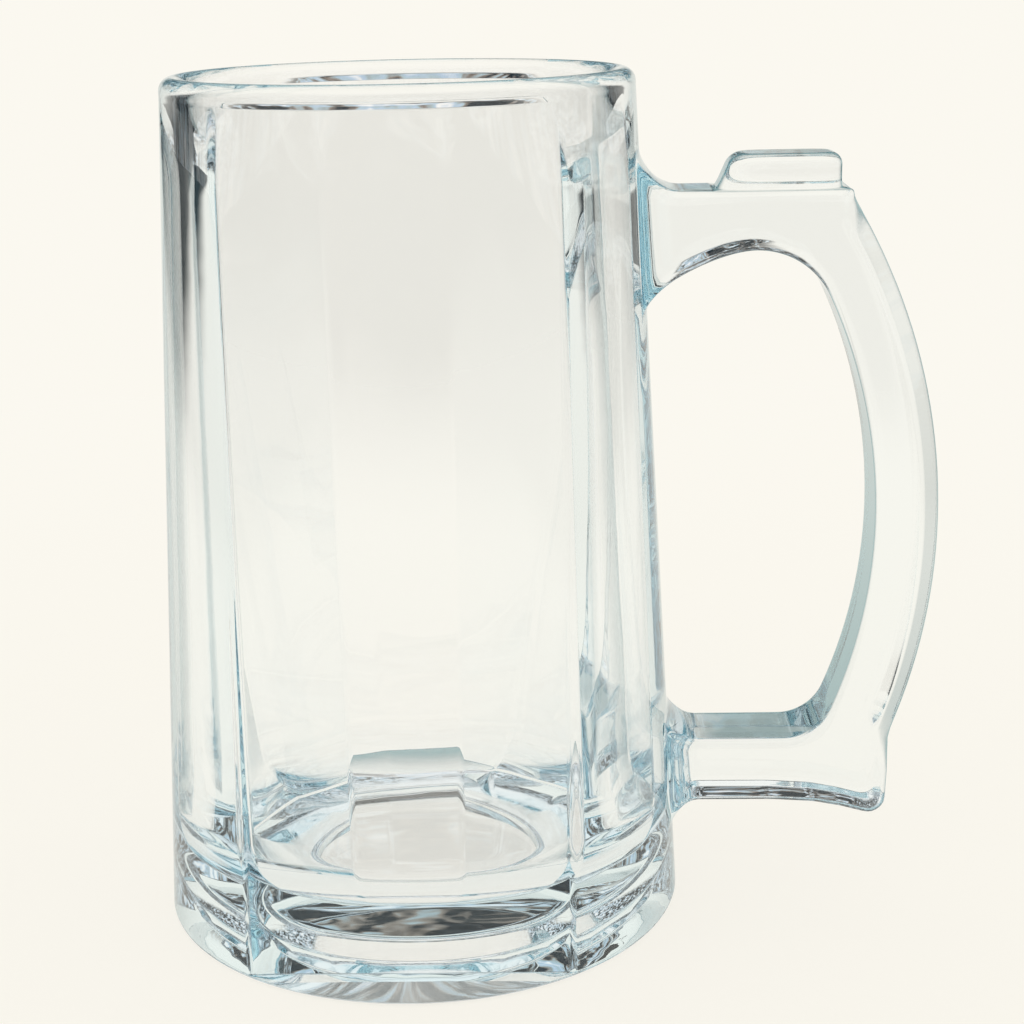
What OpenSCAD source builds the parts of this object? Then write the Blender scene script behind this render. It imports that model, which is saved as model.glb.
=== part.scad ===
// Heavy glass mug: tapering round wall with one flat cut at the front and one at the back, a bowl
// that follows the outside, round lip, thick base on a round foot, and a side handle with a thumb rest.
// Millimetres. The bowl axis is Z, the table is z = 0, the handle points along +X, a flat faces -Y.

/* [Body] */
// Height from the table to the top of the lip
mug_height = 150; // [135:1:170]
// Outer radius of the wall where it meets the foot
base_radius = 47.3; // [46:0.1:50]
// Outer radius of the wall just under the lip
top_radius = 40.4; // [39.4:0.1:42]
// Distance of each flat cut from the axis
flat_offset = 38.6; // [37.6:0.1:39.2]

/* [Bowl] */
// Thickness of the wall under the lip and at the flat cuts
wall_thickness = 4.8; // [4:0.1:6]
// Radius of the bowl's round sides at the foot, where the glass is thickest
bowl_foot_radius = 37.6; // [35:0.1:41]
// Height of the bowl floor above the table
floor_height = 9; // [7:0.5:14]
// Rounding between the bowl's floor and its wall
bowl_corner = 13; // [6:0.5:16]
// Height over which the bowl's flat sides open into the round mouth
mouth_lead = 8; // [4:0.5:14]

/* [Lip] */
// Height of the plain round band that ends in the lip
lip_height = 7; // [5:0.5:10]
// Set-back of the band behind the top of the wall
lip_step = 0.2; // [0:0.1:0.6]

/* [Foot] */
// Height of the round foot below the flat cuts
foot_height = 1.6; // [1.2:0.1:3]
// Radial rounding-off of the foot's lower edge
foot_edge = 1.1; // [0.4:0.1:2]

/* [Handle] */
// Width of the handle from side to side
handle_width = 15; // [12:0.5:18]
// Stand-out of the grip's outer face beyond the widest part of the wall
handle_standout = 46.1; // [42:0.1:52]
// Radius of the grip's outer curve
grip_outer_radius = 110; // [100:1:120]
// Height of the grip's outermost point as a share of the finger gap
bow_share = 0.446; // [0.4:0.002:0.55]
// Glass thickness of the grip at its middle
grip_thickness = 11.5; // [9:0.5:13]
// Radius of the grip's inner curve
grip_inner_radius = 94.4; // [88:0.2:100]
// Lift of the inner curve's centre above the outer one's
inner_lift = 1.5; // [0:0.1:3]
// Drop of the upper arm's underside below the top of the lip
arm_drop = 30.7; // [29:0.1:36]
// Height of the upper arm's glass
upper_arm_height = 10.2; // [9:0.1:12]
// Height of the top of the lower arm
lower_arm_top = 30.3; // [28:0.1:32]
// Height of the lower arm's glass
lower_arm_height = 12; // [10:0.1:13]
// Corner radius of the finger gap at the top
gap_top_corner = 14; // [10:0.5:16]
// Corner radius of the finger gap at the bottom
gap_bottom_corner = 9; // [6:0.5:12]
// Depth that each corner curve reaches past the edges it joins
corner_bite = 0.3; // [0.2:0.05:0.5]
// Drop of the heel below the lower arm
heel_drop = 2.7; // [1.5:0.1:3.5]
// Rounding of the heel's tip
heel_radius = 3.1; // [2:0.1:4]
// Set-back of the heel's tip behind the grip
heel_setback = 0.5; // [0.2:0.1:1.5]
// Share of the lower arm that slopes down to the heel
heel_share = 0.33; // [0.2:0.01:0.5]

/* [Thumb rest] */
// Height of the thumb rest above the upper arm
rest_height = 5.7; // [4:0.1:8]
// Slant of its inner side
rest_slant = 3.2; // [1:0.1:5]
// Share of the handle's top between the upper root and the pad
rest_start = 0.28; // [0.15:0.01:0.45]
// Easing of its outer upper edge
rest_edge = 1.5; // [0.5:0.1:2.5]

/* [Roots] */
// Stand-off of the upper arm's seat from the wall under the lip
upper_seat = 3.6; // [3:0.1:5]
// Stand-off of the lower arm's seat from the wall at the foot
lower_seat = 1.2; // [0.8:0.1:3]
// Spread of each root above and below its arm
root_flare = 2.2; // [1:0.1:3]
// Depth of each root inside the wall
root_bed = 2.4; // [1.5:0.1:3]

/* [Hidden] */
glass = [0.82, 0.93, 0.95, 0.5];
$fn = 120;

wall_top = mug_height - lip_height;
taper = (base_radius - top_radius) / (wall_top - foot_height);
lip_outer = top_radius - lip_step;
mouth_radius = top_radius - wall_thickness;
bowl_taper = (bowl_foot_radius - mouth_radius) / (wall_top - foot_height);
lip_round = (lip_outer - mouth_radius) / 2;
block_span = 4 * base_radius;

arm_underside = mug_height - arm_drop;
arm_top = arm_underside + upper_arm_height;
arm_bottom = lower_arm_top - lower_arm_height;
upper_seat_x = top_radius + upper_seat;
lower_seat_x = base_radius + lower_seat;

handle_reach = base_radius + handle_standout;
grip_middle = lower_arm_top + bow_share * (arm_underside - lower_arm_top);
outer_x = handle_reach - grip_outer_radius;
inner_x = handle_reach - grip_thickness - grip_inner_radius;
inner_z = grip_middle + inner_lift;
top_bite = gap_top_corner - corner_bite;
low_bite = gap_bottom_corner - corner_bite;
top_corner_z = arm_underside - top_bite;
top_corner_x = inner_x + sqrt(pow(grip_inner_radius - top_bite, 2) - pow(top_corner_z - inner_z, 2));
low_corner_z = lower_arm_top + low_bite;
low_corner_x = inner_x + sqrt(pow(grip_inner_radius - low_bite, 2) - pow(low_corner_z - inner_z, 2));
grip_top_x = outer_x + sqrt(pow(grip_outer_radius, 2) - pow(arm_top - grip_middle, 2));
grip_foot_x = outer_x + sqrt(pow(grip_outer_radius, 2) - pow(lower_arm_top - grip_middle, 2));
heel_x = grip_foot_x - heel_radius - heel_setback;
heel_z = arm_bottom - heel_drop + heel_radius;
heel_slope = heel_share * (heel_x - lower_seat_x);
arm_run = top_corner_x - upper_seat_x;
rest_x = upper_seat_x + rest_start * (grip_top_x - upper_seat_x);

function wall_radius(z) = base_radius - taper * (z - foot_height);
function bowl_radius(z) = bowl_foot_radius - bowl_taper * (z - foot_height);

// Round tapering block between two heights, cut flat at the front and the back
module cut_block(low, high) {
    intersection() {
        translate([0, 0, low])
            cylinder(h = high - low, r1 = wall_radius(low), r2 = wall_radius(high));
        translate([-block_span / 2, -flat_offset, low])
            cube([block_span, 2 * flat_offset, high - low]);
    }
}

// Upright outline in the X-Z plane, drawn out along Y about the handle's mid plane
module side_plate(width) {
    rotate([90, 0, 0])
        linear_extrude(height = width, center = true)
            children();
}

// Solid glass under the bowl, on a round foot with a bevelled edge
module heavy_base() {
    color(glass) {
        union() {
            cylinder(h = foot_height, r1 = base_radius - foot_edge, r2 = base_radius);
            cut_block(foot_height, floor_height);
        }
    }
}

// Flared seats on the wall that the two handle arms grow from
module root_seats() {
    upper_bed_x = wall_radius(arm_top) - root_bed;
    lower_bed_x = wall_radius(lower_arm_top) - root_bed;
    side_plate(handle_width) {
        polygon([[upper_bed_x, arm_top + 2.4 * root_flare],
                 [upper_seat_x - 0.8 * upper_seat, arm_top + 2 * root_flare],
                 [upper_seat_x - 0.45 * upper_seat, arm_top + 1.3 * root_flare],
                 [upper_seat_x, arm_top + root_flare],
                 [upper_seat_x, arm_underside - 2.7 * root_flare],
                 [upper_seat_x - 0.5 * upper_seat, arm_underside - 3.4 * root_flare],
                 [upper_bed_x, arm_underside - 4.4 * root_flare]]);
        polygon([[lower_bed_x, lower_arm_top + 2.4 * root_flare],
                 [lower_seat_x - lower_seat, lower_arm_top + root_flare],
                 [lower_seat_x, lower_arm_top + 0.4 * root_flare], [lower_seat_x, arm_bottom],
                 [lower_bed_x, arm_bottom - root_flare]]);
    }
}

// Space inside the mug: flat inside the flat cuts, rounded at the floor, opening to a round mouth
module bowl_space() {
    corner_z = floor_height + bowl_corner - corner_bite;
    corner_x = bowl_radius(corner_z) - bowl_corner + corner_bite;
    flat_inside = flat_offset - wall_thickness;
    intersection() {
        rotate_extrude() {
            intersection() {
                polygon([[0, floor_height - 1], [bowl_radius(floor_height - 1), floor_height - 1],
                         [mouth_radius, wall_top], [mouth_radius, mug_height], [0, mug_height]]);
                union() {
                    translate([corner_x, corner_z]) circle(r = bowl_corner);
                    polygon([[0, floor_height - 1], [corner_x, floor_height - 1], [corner_x, corner_z],
                             [base_radius, corner_z], [base_radius, mug_height], [0, mug_height]]);
                }
            }
        }
        union() {
            translate([-block_span / 2, -flat_inside, floor_height - 1])
                cube([block_span, 2 * flat_inside, mug_height]);
            translate([0, 0, wall_top - mouth_lead])
                cylinder(h = mouth_lead, r1 = flat_inside, r2 = mouth_radius);
        }
    }
}

// Tapering wall with the flat cuts outside and the bowl inside
module body_wall() {
    color(glass) {
        difference() {
            union() {
                cut_block(floor_height, wall_top);
                root_seats();
            }
            bowl_space();
        }
    }
}

// Plain round band with a full-round drinking edge
module rim_lip() {
    color(glass) {
        rotate_extrude() {
            translate([mouth_radius, wall_top])
                square([2 * lip_round, lip_height - lip_round]);
            translate([mouth_radius + lip_round, mug_height - lip_round])
                circle(r = lip_round);
        }
    }
}

// Upper arm from its seat on the wall to the grip, deeper towards the wall
module upper_arm() {
    color(glass) {
        side_plate(handle_width) {
            polygon([[upper_seat_x, arm_top + root_flare],
                     [upper_seat_x + 0.09 * arm_run, arm_top + 0.3 * root_flare],
                     [upper_seat_x + 0.2 * arm_run, arm_top], [top_corner_x, arm_top],
                     [top_corner_x, arm_underside],
                     [top_corner_x - 0.3 * arm_run, arm_underside - 0.3 * root_flare],
                     [upper_seat_x + 0.3 * arm_run, arm_underside - 1.2 * root_flare],
                     [upper_seat_x, arm_underside - 2.7 * root_flare]]);
        }
    }
}

// Raised pad on top of the handle for the thumb
module thumb_rest() {
    color(glass) {
        side_plate(handle_width) {
            polygon([[rest_x, arm_top], [rest_x + 0.55 * rest_slant, arm_top + 0.7 * rest_height],
                     [rest_x + rest_slant, arm_top + rest_height],
                     [grip_top_x - rest_edge, arm_top + rest_height],
                     [grip_top_x - 0.3 * rest_edge, arm_top + 0.8 * rest_height], [grip_top_x, arm_top]]);
        }
    }
}

// Finger gap between the arms, with rounded corners that run into the grip's inner curve
module finger_gap() {
    intersection() {
        translate([inner_x, inner_z]) circle(r = grip_inner_radius, $fn = 240);
        translate([inner_x, lower_arm_top - 1])
            square([2 * grip_inner_radius, arm_underside - lower_arm_top + 1]);
        union() {
            translate([top_corner_x, top_corner_z]) circle(r = gap_top_corner);
            translate([low_corner_x, low_corner_z]) circle(r = gap_bottom_corner);
            polygon([[inner_x, arm_underside + 5], [top_corner_x, arm_underside + 5],
                     [top_corner_x, top_corner_z],
                     [inner_x + 2 * (top_corner_x - inner_x), inner_z + 2 * (top_corner_z - inner_z)],
                     [inner_x + 2 * (low_corner_x - inner_x), inner_z + 2 * (low_corner_z - inner_z)],
                     [low_corner_x, low_corner_z], [low_corner_x, lower_arm_top - 5],
                     [inner_x, lower_arm_top - 5]]);
        }
    }
}

// Bowed grip between the two arms
module grip() {
    color(glass) {
        side_plate(handle_width) {
            difference() {
                intersection() {
                    translate([outer_x, grip_middle]) circle(r = grip_outer_radius, $fn = 240);
                    translate([top_corner_x, lower_arm_top]) square([handle_reach, arm_top - lower_arm_top]);
                }
                finger_gap();
            }
        }
    }
}

// Lower arm from its seat on the wall out to the rounded heel
module lower_arm() {
    color(glass) {
        side_plate(handle_width) {
            polygon([[lower_seat_x, lower_arm_top], [lower_seat_x, arm_bottom],
                     [heel_x - heel_slope, arm_bottom - 0.2 * heel_drop], [heel_x, heel_z - heel_radius],
                     [heel_x + heel_radius, heel_z], [grip_foot_x, lower_arm_top]]);
            translate([heel_x, heel_z]) circle(r = heel_radius);
        }
    }
}

heavy_base();
body_wall();
rim_lip();
upper_arm();
thumb_rest();
grip();
lower_arm();
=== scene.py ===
import math
import bmesh
import bpy
from mathutils import Matrix, Vector


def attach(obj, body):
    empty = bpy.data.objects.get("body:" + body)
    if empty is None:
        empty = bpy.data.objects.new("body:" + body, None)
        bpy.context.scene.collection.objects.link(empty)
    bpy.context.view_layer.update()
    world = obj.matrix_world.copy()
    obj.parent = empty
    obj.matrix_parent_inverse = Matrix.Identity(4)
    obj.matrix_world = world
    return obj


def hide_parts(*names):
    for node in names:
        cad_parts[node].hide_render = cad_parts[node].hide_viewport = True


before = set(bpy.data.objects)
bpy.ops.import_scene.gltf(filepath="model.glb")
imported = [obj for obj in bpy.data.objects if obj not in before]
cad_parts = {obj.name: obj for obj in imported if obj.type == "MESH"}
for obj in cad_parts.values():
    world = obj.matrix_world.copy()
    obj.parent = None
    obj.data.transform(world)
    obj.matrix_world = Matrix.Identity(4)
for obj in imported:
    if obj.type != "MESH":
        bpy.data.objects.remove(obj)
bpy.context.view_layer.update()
toMetres = 0.001    # sizes are in millimetres, unless a note says metres
print("frame loaded:", len(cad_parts), "nodes")


mugShape = {
    "height": 150.0,
    "columns": 360,                           # one to each degree
    "footRadius": 47.3, "topRadius": 40.4,
    "footEdge": 0.7, "footTop": 0.7,
    "lipBand": 7.0,                           # the taper ends this far below the top
    "lipOuter": 40.2, "lipStep": 0.8,
    "mouthRadius": 35.6,
    "wall": 4.8,                              # glass thickness at the middle of a panel
    "skin": 1.5,                              # points this near the wall's radius lie outside
    "panelFrom": 0.8, "panelTo": 146.4,       # the flat front and back, from foot to lip
    "panelHalf": 27.75,                       # half the width between the two creases
    "panelLow": 38.3, "panelHigh": 39.3,      # from the axis to its middle, at foot and top
    "panelEdge": 0.3, "panelStart": 2.0,      # rows close to its ends
    "creaseTurn": 40.0,                       # degrees to the column that is laid on a crease
    "bowlFootRadius": 37.6,                   # half the bowl's width at the foot
    "bowlFacets": 12,
    "bowlSquareLow": 2.35,                    # how square the bowl is at its foot, 2 being round
    "bowlSquareHigh": 2.12,                   # and under the lip
    "floorSquare": 2.2,                       # and at the floor
    "floorCrisp": 0.3,                        # how much of the facets the floor keeps
    "bowlRoundFrom": 132.0,                   # the facets fade into the round mouth from here
    "bowlRoundTo": 147.3,
    "bowlStep": 4.0,
    "floorHeight": 9.4, "floorFillet": 12.0, "floorStep": 2.5,
    "puntRadius": 28.5, "puntDepth": 3.9,     # the hollow in the underside
    "puntFlat": 3.0, "puntInset": 1.6, "puntFillet": 1.4,
    "puntLip": ((0.35, 0.35), (0.6, 0.08), (1.0, 0.0), (4.0, 0.0)),    # its rim, out and up
    "centreRing": 3.0,                        # the smallest ring of the floor and the hollow
    "puntSteps": 8, "edgeSteps": 6, "lipSteps": 16,
    "mouthSteps": 14, "bowlSteps": 16, "filletSteps": 14, "floorSteps": 6,
    "slack": 0.01,
}

rootShape = {
    "upperLow": 108.8, "upperHigh": 136.2,    # where the wall opens into the upper arm
    "lowerLow": 14.2, "lowerHigh": 36.2,      # and into the lower arm
    "upperGaps": (2.0, 1.5),                  # to the wall's next rows below and above
    "lowerGaps": (1.2, 1.8),
    "rows": 12, "rowsBelow": 5, "rowsBetween": 24, "rowsAbove": 4,
    "halfColumns": 14, "columnSlack": 0.01,
    "outsideFrom": 38.0,                      # past this X a face is the wall's outside
    "cornerSnap": 0.02,
    "flareLoops": 9,
    "wallPull": 0.9, "armPull": 1.1,
}


def spread(low, high, steps):
    return [low + (high - low) * i / steps for i in range(steps + 1)]


def mix(a, b, share):
    return a + (b - a) * share


def clamp(value, low=0.0, high=1.0):
    return max(low, min(high, value))


def arcPoints(centre, radius, startDeg, endDeg, steps):
    turns = [math.radians(t) for t in spread(startDeg, endDeg, steps)]
    return [(centre[0] + radius * math.cos(t), centre[1] + radius * math.sin(t)) for t in turns]


def taperShare(z, s=mugShape):
    return (z - s["footTop"]) / (s["height"] - s["lipBand"] - s["footTop"])


def wallRadius(z, s=mugShape):
    return mix(s["footRadius"], s["topRadius"], taperShare(z))


def bowlRadius(z, s=mugShape):
    return mix(s["bowlFootRadius"], s["mouthRadius"], min(1.0, taperShare(z)))


def wallRows(s=mugShape, r=rootShape):
    # heights of the wall's rows, close together where the arms grow out
    below, above = r["lowerGaps"][0], r["upperGaps"][1]
    rows = [s["panelFrom"], s["panelFrom"] + s["panelEdge"]]
    rows += spread(s["panelFrom"] + s["panelStart"], r["lowerLow"] - below, r["rowsBelow"])
    rows += spread(r["lowerLow"], r["lowerHigh"], r["rows"])
    rows += spread(r["lowerHigh"] + r["lowerGaps"][1], r["upperLow"] - r["upperGaps"][0],
                   r["rowsBetween"])
    rows += spread(r["upperLow"], r["upperHigh"], r["rows"])
    rows += spread(r["upperHigh"] + above, s["panelTo"] - s["panelEdge"], r["rowsAbove"])
    return rows + [s["panelTo"]]


def mugProfile(s=mugShape):
    # half the mug's section, from the middle of the underside to the middle of the bowl's floor
    hollow, depth, edge = s["puntRadius"], s["puntDepth"], s["footEdge"]
    flat = [0.0] + spread(s["centreRing"], hollow - s["puntFlat"], s["puntSteps"])
    points = [(x, depth) for x in flat]
    turn = (hollow - s["puntInset"], depth - s["puntFillet"])
    points += arcPoints(turn, s["puntFillet"], 90, 15, s["edgeSteps"])
    points += [(hollow + out, up) for out, up in s["puntLip"]]
    points += arcPoints((s["footRadius"] - edge, edge), edge, -90, 0, s["edgeSteps"])
    points += [(wallRadius(z), z) for z in wallRows()]
    points.append((s["lipOuter"], s["panelTo"] + s["lipStep"]))
    lipRound = (s["lipOuter"] - s["mouthRadius"]) / 2
    lipCentre = (s["mouthRadius"] + lipRound, s["height"] - lipRound)
    points += arcPoints(lipCentre, lipRound, 0, 180, s["lipSteps"])
    bowlFoot = s["floorHeight"] + s["floorFillet"]
    inside = spread(s["bowlRoundTo"], s["bowlRoundFrom"], s["mouthSteps"])
    inside += spread(s["bowlRoundFrom"] - s["bowlStep"], bowlFoot, s["bowlSteps"])
    points += [(bowlRadius(z), z) for z in inside]
    filletX = bowlRadius(bowlFoot) - s["floorFillet"]
    points += arcPoints((filletX, bowlFoot), s["floorFillet"], 0, -90, s["filletSteps"])[1:]
    floor = spread(filletX - s["floorStep"], s["centreRing"], s["floorSteps"]) + [0.0]
    return points + [(x, s["floorHeight"]) for x in floor]


def shapeOutside(co, s=mugShape):
    # lays one column of the round wall on each crease, and the flat panel between the creases
    z = co.z / toMetres
    if not s["panelFrom"] - s["slack"] <= z <= s["panelTo"] + s["slack"]:
        return
    radius = math.hypot(co.x, co.y) / toMetres
    side = -1.0 if co.y < 0 else 1.0
    turn = math.atan2(co.x, side * co.y)      # 0 at the middle of the panel
    nominal = math.radians(s["creaseTurn"])
    crease = math.asin(s["panelHalf"] / radius)
    size = abs(turn)
    if size <= nominal:
        bent = size * crease / nominal
    else:
        bent = crease + (size - nominal) * (math.pi / 2 - crease) / (math.pi / 2 - nominal)
    x = radius * math.sin(bent)
    y = radius * math.cos(bent)
    if bent < crease:
        share = (z - s["panelFrom"]) / (s["panelTo"] - s["panelFrom"])
        middle = mix(s["panelLow"], s["panelHigh"], share)
        corner = radius * math.cos(crease)
        y = corner + (middle - corner) * (1 - (x / s["panelHalf"]) ** 2)
    co.x = math.copysign(x, turn) * toMetres
    co.y = side * y * toMetres


def bowlReach(turn, z, settle, s=mugShape):
    # from the axis to the inside of the bowl, which has flat facets between upright edges
    share = clamp((z - s["floorHeight"]) / (s["bowlRoundTo"] - s["floorHeight"]))
    step = 2 * math.pi / s["bowlFacets"]
    wide = bowlRadius(z) / math.cos(step / 2)
    deep = (mix(s["panelLow"], s["panelHigh"], share) - s["wall"]) / math.cos(step / 2)
    power = mix(s["floorSquare"], mix(s["bowlSquareLow"], s["bowlSquareHigh"], share), settle)

    def smoothReach(angle):
        x, y = abs(math.cos(angle)), abs(math.sin(angle))
        return ((x / wide) ** power + (y / deep) ** power) ** (-1 / power)

    first = step / 2 + step * math.floor((turn - step / 2) / step)
    last = first + step
    a, b = smoothReach(first), smoothReach(last)
    flat = a * b * math.sin(step) / (a * math.sin(turn - first) + b * math.sin(last - turn))
    crisp = mix(s["floorCrisp"], 1.0, settle)
    return smoothReach(turn) * math.cos(step / 2) * (1.0 - crisp) + flat * crisp


def shapeBowl(co, s=mugShape):
    # moves the round inside to the bowl's facets, and less so towards the mouth
    z = co.z / toMetres
    atAxis = math.hypot(co.x, co.y) / toMetres < s["centreRing"] / 2
    if atAxis or z < s["floorHeight"] - s["slack"] or z > s["bowlRoundTo"]:
        return
    level = max(z, s["floorHeight"] + s["floorFillet"])
    rise = min(1.0, (s["bowlRoundTo"] - z) / (s["bowlRoundTo"] - s["bowlRoundFrom"]))
    rise = rise * rise * (3 - 2 * rise)
    low = clamp((z - s["floorHeight"]) / s["floorFillet"])
    reach = bowlReach(math.atan2(co.y, co.x), level, low * (2 - low))
    scale = 1 + (reach / bowlRadius(level) - 1) * rise
    co.x *= scale
    co.y *= scale


def buildBody(s=mugShape):
    bm = bmesh.new()
    profile = [bm.verts.new((x * toMetres, 0, z * toMetres)) for x, z in mugProfile()]
    edges = [bm.edges.new(pair) for pair in zip(profile, profile[1:])]
    bmesh.ops.spin(bm, geom=profile + edges, axis=(0, 0, 1), cent=(0, 0, 0),
                   angle=2 * math.pi, steps=s["columns"], use_merge=True)
    bmesh.ops.remove_doubles(bm, verts=bm.verts, dist=1e-7)
    for v in bm.verts:
        outside = (wallRadius(v.co.z / toMetres) - s["skin"]) * toMetres
        if math.hypot(v.co.x, v.co.y) > outside:
            shapeOutside(v.co)
        else:
            shapeBowl(v.co)
    bmesh.ops.recalc_face_normals(bm, faces=bm.faces)
    return bm


def columnOf(co, s=mugShape):
    # number of the wall column that a point lies on, counted from the handle's middle
    radius = math.hypot(co.x, co.y) / toMetres
    crease = math.asin(min(1.0, s["panelHalf"] / radius))
    nominal = math.radians(s["creaseTurn"])
    bent = math.atan2(co.x, abs(co.y))
    size = nominal + (bent - crease) * (math.pi / 2 - nominal) / (math.pi / 2 - crease)
    return math.copysign((math.pi / 2 - size) / math.radians(1), co.y)


def openRoot(bm, low, high, r=rootShape):
    # takes the wall's faces away where an arm grows out, and gives all open edges
    widest = r["halfColumns"] + r["columnSlack"]
    gone = []
    for f in bm.faces:
        c = f.calc_center_median() / toMetres
        if c.x > r["outsideFrom"] and low < c.z < high:
            if all(abs(columnOf(v.co)) <= widest for v in f.verts):
                gone.append(f)
    bmesh.ops.delete(bm, geom=gone, context="FACES")
    return [e for e in bm.edges if e.is_boundary]


handleShape = {
    "width": 15.0,
    "edgeRadius": 1.4,
    "gripBevel": 3.4,                         # along the outside of the grip
    "bevelTop": (1.0, 4.0),                   # it fades in below the arm's top
    "bevelHeel": (8.0, 8.0),                  # and out again above the heel
    "upperStart": 47.6, "lowerStart": 51.2,   # where the flares have run out into the arms
    "rootReach": 8.0,                         # the outline goes on this far towards the wall
    "armTop": 129.5, "armUnder": 119.3,
    "underDrop": 4.2, "underBend": 1.7,       # the underside falls this much towards the wall
    "lowerTop": 30.3, "lowerBottom": 18.3,
    "outerCentre": (-16.6, 70.0), "outerRadius": 110.0,
    "outerSkip": 0.9, "outerEnd": -21.4,      # degrees, at the two ends of the outer bow
    "outerCorner": 0.8,                       # rounding between the arm's top and the grip
    "innerCentre": (-12.5, 71.5), "innerRadius": 94.4,
    "topCorner": 14.0, "lowCorner": 9.0,
    "topFan": ((89, 60, 14), (58.5, 54.5, 16), (53, None, 8)),      # degrees and steps, where
    "lowFan": ((None, -42, 8), (-44, -66, 16), (-68, -89, 8)),      # None is the bow's end
    "heelTip": (82.3, 15.6), "heelRadius": 3.0, "heelEnd": -110,
    "heelHollow": (5.0, 1.25),                # from the heel's tip to the arm's underside
    "heelRun": ((10.0, -0.5), (18.0, 0.0)),
    "soleRise": 0.1,
    "armSteps": 22, "gripSteps": 30, "lowerSteps": 10, "bowSteps": 40, "cornerSteps": 6,
}


def sectionPoint(u, v, halfWide, halfThick, innerEdge, outerEdge, bevelled):
    # point on an oblong for a place (u, v) on the rim of a square
    # the inner edges are rounded, the outer ones round or bevelled
    edgeRadius = outerEdge if v > 0 else innerEdge
    level = abs(v) >= abs(u)
    if level:
        along, halfAlong, halfAcross = u / abs(v), halfWide, math.copysign(halfThick, v)
    else:
        along, halfAlong, halfAcross = v / abs(u), halfThick, math.copysign(halfWide, u)
    straight = halfAlong - edgeRadius
    travel = abs(along) * (straight + edgeRadius * math.pi / 4)
    if travel <= straight:
        a, b = travel, abs(halfAcross)
    else:
        bend = (travel - straight) / edgeRadius
        flat = bevelled if v > 0 else 0.0
        slope = edgeRadius * bend / (math.pi / 2)
        a = straight + edgeRadius * math.sin(bend) * (1 - flat) + slope * flat
        b = abs(halfAcross) - edgeRadius * (1 - math.cos(bend)) * (1 - flat) - slope * flat
    a = math.copysign(a, along)
    b = math.copysign(b, halfAcross)
    return (a, b) if level else (b, a)


def handleOutline(s=handleShape):
    # outside of the handle in the X-Z plane, from the upper root round to the lower root
    cx, cz = s["outerCentre"]
    top, bottom = s["armTop"], s["lowerBottom"]
    topTurn = math.degrees(math.asin((top - cz) / s["outerRadius"]))
    topEnd = cx + s["outerRadius"] * math.cos(math.radians(topTurn))
    corner = s["outerCorner"]
    points = [(s["upperStart"] - s["rootReach"], top)]
    points += arcPoints((topEnd, top - corner), corner, 90, topTurn, s["cornerSteps"])
    points += arcPoints((cx, cz), s["outerRadius"], topTurn - s["outerSkip"], s["outerEnd"],
                        s["bowSteps"])
    tipX, tipZ = s["heelTip"]
    heel = (tipX, tipZ + s["heelRadius"])
    points += arcPoints(heel, s["heelRadius"], 0, s["heelEnd"], s["cornerSteps"])
    points.append((tipX - s["heelHollow"][0], tipZ + s["heelHollow"][1]))
    points += [(tipX - back, bottom + up) for back, up in s["heelRun"]]
    points.append((s["lowerStart"] - s["rootReach"], bottom + s["soleRise"]))
    return points


def rayHit(origin, direction, outline):
    # nearest point of the outline that a ray meets
    best = None
    for (ax, az), (bx, bz) in zip(outline, outline[1:]):
        ex, ez = bx - ax, bz - az
        det = ex * direction[1] - ez * direction[0]
        if abs(det) < 1e-9:
            continue
        qx, qz = ax - origin[0], az - origin[1]
        far = (ex * qz - ez * qx) / det
        along = (direction[0] * qz - direction[1] * qx) / det
        if far > 0 and -1e-6 <= along <= 1 + 1e-6 and (best is None or far < best):
            best = far
    return (origin[0] + direction[0] * best, origin[1] + direction[1] * best)


def handleStations(s=handleShape):
    # inner point, outer point and share of the bevel, from the upper root to the lower root
    outline = handleOutline()
    ix, iz = s["innerCentre"]
    stations = []

    def cornerPlace(z, radius):
        # X of a corner's centre, and its direction from the centre of the inner bow
        x = ix + math.sqrt((s["innerRadius"] - radius) ** 2 - (z - iz) ** 2)
        return x, math.degrees(math.atan2(z - iz, x - ix))

    def bevelShare(outer):
        upper = (s["armTop"] - s["bevelTop"][0] - outer[1]) / s["bevelTop"][1]
        lower = (outer[1] - s["heelTip"][1] - s["bevelHeel"][0]) / s["bevelHeel"][1]
        return max(0.0, min(1.0, upper, lower))

    def fan(centre, radius, turns):
        for t in turns:
            d = (math.cos(math.radians(t)), math.sin(math.radians(t)))
            inner = (centre[0] + radius * d[0], centre[1] + radius * d[1])
            outer = rayHit(inner, d, outline)
            stations.append((inner, outer, bevelShare(outer)))

    def fanTurns(parts, bowEnd):
        turns = []
        for first, last, steps in parts:
            first, last = (bowEnd if t is None else t for t in (first, last))
            turns += spread(first, last, steps)
        return turns

    topZ, lowZ = s["armUnder"] - s["topCorner"], s["lowerTop"] + s["lowCorner"]
    topX, topTurn = cornerPlace(topZ, s["topCorner"])
    lowX, lowTurn = cornerPlace(lowZ, s["lowCorner"])
    for x in spread(s["upperStart"], topX, s["armSteps"]):
        drop = s["underDrop"] * ((topX - x) / (topX - s["upperStart"])) ** s["underBend"]
        inner = (x, s["armUnder"] - drop)
        stations.append((inner, rayHit(inner, (0, 1), outline), 0.0))
    fan((topX, topZ), s["topCorner"], fanTurns(s["topFan"], topTurn))
    fan((ix, iz), s["innerRadius"], spread(topTurn, lowTurn, s["gripSteps"])[1:-1])
    fan((lowX, lowZ), s["lowCorner"], fanTurns(s["lowFan"], lowTurn))
    for x in spread(lowX, s["lowerStart"], s["lowerSteps"])[1:]:
        inner = (x, s["lowerTop"])
        stations.append((inner, rayHit(inner, (0, -1), outline), 0.0))
    return stations


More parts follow.
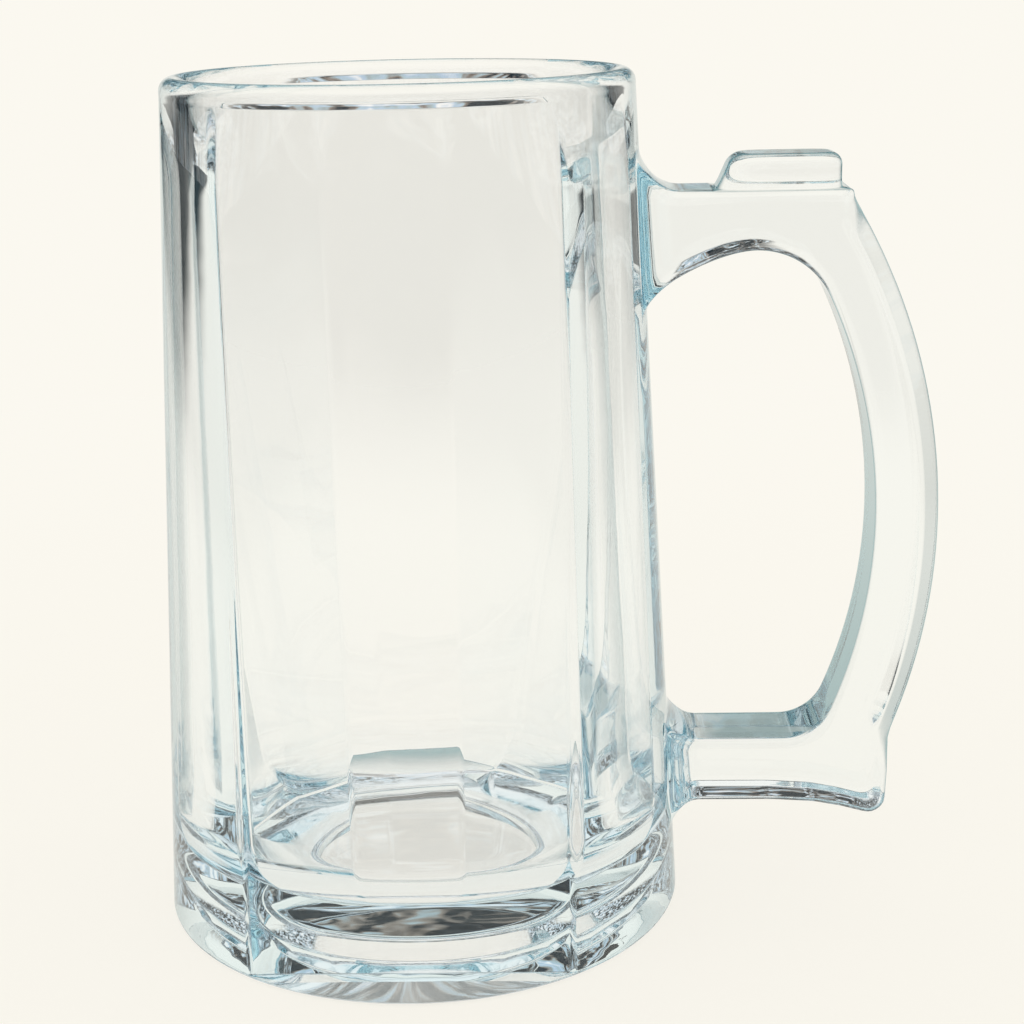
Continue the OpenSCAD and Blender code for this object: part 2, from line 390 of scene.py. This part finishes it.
def hermite(a, b, pullA, pullB, t):
    t2, t3 = t * t, t * t * t
    return (a * (2 * t3 - 3 * t2 + 1) + pullA * (t3 - 2 * t2 + t)
            + b * (3 * t2 - 2 * t3) + pullB * (t3 - t2))


def growHandle(bm, upperEdges, lowerEdges):
    # the handle is extruded loop by loop out of the upper hole and closed on the lower one
    s, r = handleShape, rootShape
    stations = handleStations()

    def holePlace(co, low, high):
        # place of a hole's point on the rim of a square
        u = clamp(columnOf(co) / r["halfColumns"], -1.0, 1.0)
        v = clamp((co.z / toMetres - (low + high) / 2) / ((high - low) / 2), -1.0, 1.0)
        if abs(u) > abs(v):
            u = math.copysign(1.0, u)
        else:
            v = math.copysign(1.0, v)
        u, v = (math.copysign(1.0, p) if 1 - abs(p) < r["cornerSnap"] else p for p in (u, v))
        return (round(u, 4), round(v, 4))

    def stationPoint(place, station):
        inner, outer = (Vector((x, 0, z)) for x, z in station[:2])
        middle, across, bevel = (inner + outer) / 2, outer - inner, station[2]
        outerEdge = mix(s["edgeRadius"], s["gripBevel"], bevel)
        y, d = sectionPoint(*place, s["width"] / 2, across.length / 2,
                            s["edgeRadius"], outerEdge, bevel)
        return (middle + across.normalized() * d + Vector((0, y, 0))) * toMetres

    def wallPull(co, target):
        # leaves the wall along its own surface
        out = Vector((co.x, co.y, 0)).normalized()
        way = target - co
        return (way - out * way.dot(out)) * r["wallPull"]

    place = {}
    for v in {v for e in upperEdges for v in e.verts}:
        place[v] = holePlace(v.co, r["upperLow"], r["upperHigh"])
    upperCo = {p: v.co.copy() for v, p in place.items()}
    lowerCo = {}
    for v in {v for e in lowerEdges for v in e.verts}:
        u, w = holePlace(v.co, r["lowerLow"], r["lowerHigh"])
        lowerCo[(u, -w)] = v.co.copy()

    flare = [i / r["flareLoops"] for i in range(1, r["flareLoops"])]
    loops = [("upper", t) for t in flare] + [("arm", i) for i in range(len(stations))]
    loops += [("lower", t) for t in flare] + [("close", 1.0)]
    edges = list(upperEdges)
    for kind, t in loops:
        made = bmesh.ops.extrude_edge_only(bm, edges=edges)["geom"]
        edges = [g for g in made if isinstance(g, bmesh.types.BMEdge)]
        newPlace = {}
        for v in [g for g in made if isinstance(g, bmesh.types.BMVert)]:
            for e in v.link_edges:
                if e.other_vert(v) in place:
                    newPlace[v] = place[e.other_vert(v)]
        for v, p in newPlace.items():
            if kind == "upper":
                a, b = upperCo[p], stationPoint(p, stations[0])
                pull = (stationPoint(p, stations[1]) - b).normalized()
                pull = pull * (b - a).length * r["armPull"]
                v.co = hermite(a, b, wallPull(a, b), pull, t)
            elif kind == "arm":
                v.co = stationPoint(p, stations[t])
            elif kind == "lower":
                a, b = stationPoint(p, stations[-1]), lowerCo[p]
                pull = (a - stationPoint(p, stations[-2])).normalized()
                pull = pull * (b - a).length * r["armPull"]
                v.co = hermite(a, b, pull, -wallPull(b, a), t)
            else:
                v.co = lowerCo[p]
        place = newPlace
    bmesh.ops.remove_doubles(bm, verts=bm.verts, dist=1e-6)


restShape = {
    "start": 52.9, "end": 76.0, "top": 135.3,
    "upright": 0.97, "levelSlack": 0.3,       # which faces of the arm's top it grows from
    "slant": 2.6,                             # lean of the end towards the wall
    "round": 1.9, "roundSteps": 7,            # its upper edge
    "inset": 0.7,                             # narrower than the arm by this on each side
    "foot": ((0.0, 0.0), (0.3, 0.15)),        # first rings: height and further inset
    "sideFrom": 1.2, "sideInset": 0.25, "sideSteps": 3,
    "square": 5.0,                            # seen from above, 2 being round
}


def restRings(rise, s=restShape):
    # height and inset of each ring of the thumb rest
    side = s["inset"] + s["sideInset"]
    rings = [(height, s["inset"] + more) for height, more in s["foot"]]
    rings += [(h, side) for h in spread(s["sideFrom"], rise - s["round"], s["sideSteps"])]
    for i in range(1, s["roundSteps"] + 1):
        a = math.radians(90 * i / s["roundSteps"])
        rings.append((rise - s["round"] * (1 - math.sin(a)),
                      side + s["round"] * (1 - math.cos(a))))
    return rings


def raiseRest(bm, s=restShape):
    # the thumb rest is raised ring by ring out of the top of the arm's corner
    armTop, power = handleShape["armTop"], s["square"]
    layers = bm.verts.layers.float
    acrossLayer, alongLayer = layers.new("restAcross"), layers.new("restAlong")
    bm.normal_update()
    faces = []
    for f in bm.faces:
        c = f.calc_center_median() / toMetres
        atTop = f.normal.z > s["upright"] and abs(c.z - armTop) < s["levelSlack"]
        if atTop and s["start"] < c.x < s["end"]:
            faces.append(f)
    corners = [v.co / toMetres for f in faces for v in f.verts]
    start, end = min(c.x for c in corners), max(c.x for c in corners)
    middle, halfLong = (start + end) / 2, (end - start) / 2
    halfWide = max(c.y for c in corners)
    for f in faces:
        for v in f.verts:
            v[alongLayer] = (v.co.x / toMetres - middle) / halfLong
            v[acrossLayer] = v.co.y / toMetres / halfWide
    rise = s["top"] - armTop
    for height, inset in restRings(rise):
        made = bmesh.ops.extrude_face_region(bm, geom=faces)["geom"]
        bmesh.ops.delete(bm, geom=[f for f in faces if f.is_valid], context="FACES")
        faces = [g for g in made if isinstance(g, bmesh.types.BMFace)]
        for v in [g for g in made if isinstance(g, bmesh.types.BMVert)]:
            u, w = v[alongLayer], v[acrossLayer]
            size = (abs(u) ** power + abs(w) ** power) ** (1 / power)
            keep = max(abs(u), abs(w)) / size if size > 0 else 1.0
            lean = s["slant"] * height / rise * (1 - u) / 2
            x = middle + u * keep * (halfLong - inset) + lean
            y = w * keep * (halfWide - inset)
            v.co = Vector((x, y, armTop + height)) * toMetres
    layers.remove(acrossLayer)
    layers.remove(layers["restAlong"])
    print("thumb rest raised from", len(faces), "faces")


def makeMug(r=rootShape):
    bm = buildBody()
    upper = openRoot(bm, r["upperLow"], r["upperHigh"])
    known = set(upper)
    lower = [e for e in openRoot(bm, r["lowerLow"], r["lowerHigh"]) if e not in known]
    print("holes:", len(upper), len(lower))
    growHandle(bm, upper, lower)
    bmesh.ops.recalc_face_normals(bm, faces=bm.faces)
    raiseRest(bm)
    bmesh.ops.recalc_face_normals(bm, faces=bm.faces)
    openEdges = sum(1 for e in bm.edges if not e.is_manifold)
    print("mug mesh:", len(bm.faces), "faces, open edges:", openEdges)
    mesh = bpy.data.meshes.new("mug_glass")
    bm.to_mesh(mesh)
    bm.free()
    mesh.shade_smooth()
    mug = bpy.data.objects.new("mug_glass", mesh)
    bpy.context.collection.objects.link(mug)
    return mug


def addNode(tree, kind, operation=None, *sources):
    # new node, with its first sockets set to numbers or linked to other nodes' outputs
    node = tree.nodes.new("ShaderNode" + kind)
    if operation:
        node.operation = operation
    for socket, source in zip(node.inputs, sources):
        if isinstance(source, (int, float)):
            socket.default_value = source
        else:
            tree.links.new(source, socket)
    return node


def setInputs(node, values):
    for name, value in values.items():
        node.inputs[name].default_value = value


def fadeNode(tree, source, fromMin, fromMax, toMin=0.0, toMax=1.0):
    node = addNode(tree, "MapRange")
    node.interpolation_type = "SMOOTHSTEP"
    setInputs(node, {"From Min": fromMin, "From Max": fromMax, "To Min": toMin, "To Max": toMax})
    tree.links.new(source, node.inputs["Value"])
    return node.outputs[0]


def rampNode(tree, source, stops):
    # ramp through pairs of a position and a colour
    node = addNode(tree, "ValToRGB", None, source)
    marks = node.color_ramp.elements
    for mark, (position, colour) in zip(marks, (stops[0], stops[-1])):
        mark.position, mark.color = position, (*colour, 1)
    for position, colour in stops[1:-1]:
        marks.new(position).color = (*colour, 1)
    return node


glassFinish = {
    "ior": 1.52,
    "tint": (0.72, 0.90, 0.955),
    "depth": 9.0,                             # absorption per metre
    "clear": (1.0, 1.0, 1.0),
    "paintedEdgeReflection": (0.06, 0.18, 0.22),           # painted dark reflection, seen along the surface, at edges and folds
    "edgeBlend": 0.5, "edgeFrom": 0.53, "edgeTo": 1.0,
    "handleFrom": (0.045, 0.056),             # metres along X
    "handleReflectionGain": 0.28,                       # the painted dark reflection is stronger on the handle's edges
    "ripple": 0.02, "rippleSize": 60.0,
    "rippleDetail": 2.0, "rippleHeight": 0.002,    # height in metres
}


def clearGlass(g=glassFinish):
    mat = bpy.data.materials.new("clear_glass")
    mat.use_nodes = True
    tree = mat.node_tree
    shader, out = tree.nodes["Principled BSDF"], tree.nodes["Material Output"]
    setInputs(shader, {"Transmission Weight": 1.0, "IOR": g["ior"], "Roughness": 0.0})
    place = addNode(tree, "TexCoord")
    way = addNode(tree, "SeparateXYZ", None, place.outputs["Object"])
    # painted dark reflection: the base colour turns dark teal where the surface is seen edge-on,
    # and more so on the handle
    slant = addNode(tree, "LayerWeight", None, g["edgeBlend"])
    lift = fadeNode(tree, way.outputs["X"], *g["handleFrom"], 0.0, g["handleReflectionGain"])
    seen = addNode(tree, "Math", "ADD", slant.outputs["Facing"], lift)
    edge = rampNode(tree, seen.outputs[0],
                    ((g["edgeFrom"], g["clear"]), (g["edgeTo"], g["paintedEdgeReflection"])))
    edge.color_ramp.interpolation = "EASE"
    tree.links.new(edge.outputs[0], shader.inputs["Base Color"])
    wave = addNode(tree, "TexNoise", None, place.outputs["Object"])
    setInputs(wave, {"Scale": g["rippleSize"], "Detail": g["rippleDetail"]})
    bump = addNode(tree, "Bump")
    setInputs(bump, {"Strength": g["ripple"], "Distance": g["rippleHeight"]})
    tree.links.new(wave.outputs["Fac"], bump.inputs["Height"])
    tree.links.new(bump.outputs["Normal"], shader.inputs["Normal"])
    depth = addNode(tree, "VolumeAbsorption")
    setInputs(depth, {"Color": (*g["tint"], 1), "Density": g["depth"]})
    tree.links.new(depth.outputs["Volume"], out.inputs["Volume"])
    return mat


mug = makeMug()
mug.data.materials.append(clearGlass())
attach(mug, "root")
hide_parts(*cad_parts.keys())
print("mug made")


studio = {
    "cream": (0.965, 0.94, 0.87),
    "roomDark": (0.012, 0.02, 0.025),         # the room round the table, seen only in the glass
    "roomLight": (0.965, 0.95, 0.92),
    "darkTo": 0.485, "lightFrom": 0.66,       # of the patches
    "tonesBetween": ((0.53, (0.30, 0.25, 0.21)), (0.57, (0.46, 0.57, 0.60)),
                     (0.61, (0.50, 0.62, 0.74))),
    "patchSize": 22.0, "patchDetail": 3.0, "patchRough": 0.65,
    "sideFrom": 0.92, "sideTo": 0.55,         # the room gets paler from behind the mug to the sides
    "sideLift": 0.075,
    "lowFrom": 0.8, "lowTo": 0.5,             # and there it shows at every height
    "ceilingFrom": 0.55, "ceilingTo": 0.85,   # it is bright overhead
    "roomFrom": 0.05, "roomTo": 0.16,         # it starts above the table, by the sine of the height
    "straightShare": 0.15,                    # what light shows of it that was only refracted
    "tableRadius": 2.5, "tableDrop": 0.0003,  # in metres, like the paper on the table
    "tableSides": 96, "tableRough": 0.9,
    "paperHalf": 0.16, "paperSpread": 0.30, "paperFront": -0.28, "paperFade": 0.20,
    "glowFrom": 0.10, "glowTo": 0.45,         # the table glows evenly further out, in metres
    "floorGlow": 0.86,
    "bounces": 40,                            # light is caught many times inside the glass
}


def glassShare(tree, s=studio):
    # 0 for the plain view, more for light through the glass, and most for what is reflected in it
    path = addNode(tree, "LightPath").outputs
    inGlass = addNode(tree, "Math", "MAXIMUM", path["Is Glossy Ray"], path["Is Transmission Ray"])
    caught = fadeNode(tree, path["Glossy Depth"], 0.0, 1.0, s["straightShare"], 1.0)
    share = addNode(tree, "Math", "MULTIPLY", inGlass.outputs[0], caught)
    return share.outputs[0], inGlass.outputs[0]


def roomColour(tree, place, way, s=studio):
    # patchy and dim low down, bright overhead
    patches = addNode(tree, "TexNoise", None, place)
    setInputs(patches, {"Scale": s["patchSize"], "Detail": s["patchDetail"],
                        "Roughness": s["patchRough"]})
    lift = fadeNode(tree, way["Y"], s["sideFrom"], s["sideTo"], 0.0, s["sideLift"])
    tone = addNode(tree, "Math", "ADD", patches.outputs["Fac"], lift)
    stops = ((s["darkTo"], s["roomDark"]), *s["tonesBetween"], (s["lightFrom"], s["roomLight"]))
    tones = rampNode(tree, tone.outputs[0], stops)
    blend = addNode(tree, "Mix")
    blend.data_type = "RGBA"
    colourIn = [i for i in blend.inputs if i.type == "RGBA"]
    colourIn[1].default_value = (*s["roomLight"], 1)
    tree.links.new(tones.outputs[0], colourIn[0])
    overhead = fadeNode(tree, way["Z"], s["ceilingFrom"], s["ceilingTo"])
    tree.links.new(overhead, blend.inputs["Factor"])
    return [o for o in blend.outputs if o.type == "RGBA"][0]


def makeWorld(s=studio):
    world = bpy.data.worlds.new("studio")
    bpy.context.scene.world = world
    world.use_nodes = True
    tree = world.node_tree
    tree.nodes.clear()
    out = addNode(tree, "OutputWorld")
    back = addNode(tree, "Background")
    setInputs(back, {"Color": (*s["cream"], 1)})
    place = addNode(tree, "TexCoord").outputs["Generated"]
    way = addNode(tree, "SeparateXYZ", None, place).outputs
    room = addNode(tree, "Background", None, roomColour(tree, place, way))
    share, inGlass = glassShare(tree)
    height = fadeNode(tree, way["Z"], s["roomFrom"], s["roomTo"])
    sideways = fadeNode(tree, way["Y"], s["lowFrom"], s["lowTo"])
    above = addNode(tree, "Math", "MULTIPLY", inGlass, height)
    aside = addNode(tree, "Math", "MULTIPLY", share, sideways)
    either = addNode(tree, "Math", "MAXIMUM", above.outputs[0], aside.outputs[0])
    both = addNode(tree, "MixShader", None, either.outputs[0], back.outputs[0], room.outputs[0])
    tree.links.new(both.outputs[0], out.inputs["Surface"])


def paleTable(s=studio):
    mat = bpy.data.materials.new("pale_table")
    mat.use_nodes = True
    tree = mat.node_tree
    cream, dark = (*s["cream"], 1), (*s["roomDark"], 1)
    shader = tree.nodes["Principled BSDF"]
    setInputs(shader, {"Base Color": cream, "Roughness": s["tableRough"]})
    glow, dim = addNode(tree, "Emission"), addNode(tree, "Emission")
    setInputs(glow, {"Color": cream})
    setInputs(dim, {"Color": dark})
    place = addNode(tree, "TexCoord").outputs["Object"]
    reach = addNode(tree, "VectorMath", "LENGTH", place)
    fade = fadeNode(tree, reach.outputs["Value"], s["glowFrom"], s["glowTo"], s["floorGlow"], 1.0)
    paper = addNode(tree, "MixShader", None, fade, shader.outputs[0], glow.outputs[0])
    # the glass shows the dim room on both sides of a strip of paper that runs to the back
    way = addNode(tree, "SeparateXYZ", None, place).outputs
    ahead = addNode(tree, "Math", "SUBTRACT", way["Y"], s["paperFront"])
    widen = addNode(tree, "Math", "MULTIPLY", ahead.outputs[0], s["paperSpread"])
    side = addNode(tree, "Math", "ABSOLUTE", way["X"])
    past = addNode(tree, "Math", "SUBTRACT", side.outputs[0], widen.outputs[0])
    off = fadeNode(tree, past.outputs[0], s["paperHalf"], s["paperHalf"] + s["paperFade"])
    front = fadeNode(tree, way["Y"], s["paperFront"], s["paperFront"] - s["paperFade"])
    beyond = addNode(tree, "Math", "MAXIMUM", off, front)
    share = addNode(tree, "Math", "MULTIPLY", glassShare(tree)[0], beyond.outputs[0])
    choice = addNode(tree, "MixShader", None, share.outputs[0], paper.outputs[0], dim.outputs[0])
    tree.links.new(choice.outputs[0], tree.nodes["Material Output"].inputs["Surface"])
    return mat


def makeFloor(s=studio):
    bm = bmesh.new()
    bmesh.ops.create_circle(bm, cap_ends=True, segments=s["tableSides"], radius=s["tableRadius"])
    bmesh.ops.translate(bm, verts=bm.verts, vec=(0, 0, -s["tableDrop"]))
    mesh = bpy.data.meshes.new("table")
    bm.to_mesh(mesh)
    bm.free()
    floor = bpy.data.objects.new("table", mesh)
    bpy.context.collection.objects.link(floor)
    mesh.materials.append(paleTable())


cameraPlace = {
    "distance": 337.5, "height": 167.85,
    "turn": 4.5,                              # degrees round the mug, towards the handle
    "yaw": 3.02, "pitch": 15.9, "roll": -1.17,
    "focalPixels": 1944.0, "framePixels": 1024.0,
    "sensor": 36.0, "clipStart": 0.01,        # clipStart in metres
}


def makeCamera(c=cameraPlace):
    yaw, pitch, roll = (math.radians(c[k]) for k in ("yaw", "pitch", "roll"))
    level = math.cos(pitch)
    ahead = Vector((math.sin(yaw) * level, math.cos(yaw) * level, -math.sin(pitch)))
    right = Vector((math.cos(yaw), -math.sin(yaw), 0))
    up = right.cross(ahead)
    across = right * math.cos(roll) + up * math.sin(roll)
    upright = up * math.cos(roll) - right * math.sin(roll)
    place = Matrix.Translation((0, -c["distance"] * toMetres, c["height"] * toMetres))
    place = place @ Matrix((across, upright, -ahead)).transposed().to_4x4()
    data = bpy.data.cameras.new("camera")
    data.sensor_width = c["sensor"]
    data.lens = c["focalPixels"] / c["framePixels"] * data.sensor_width
    data.clip_start = c["clipStart"]
    cam = bpy.data.objects.new("camera", data)
    bpy.context.collection.objects.link(cam)
    cam.matrix_world = Matrix.Rotation(math.radians(c["turn"]), 4, "Z") @ place
    bpy.context.scene.camera = cam


makeWorld()
makeFloor()
makeCamera()
scene = bpy.context.scene
scene.view_settings.view_transform = "Standard"
scene.cycles.max_bounces = studio["bounces"]
scene.cycles.glossy_bounces = studio["bounces"]
scene.cycles.transmission_bounces = studio["bounces"]
print("studio ready")
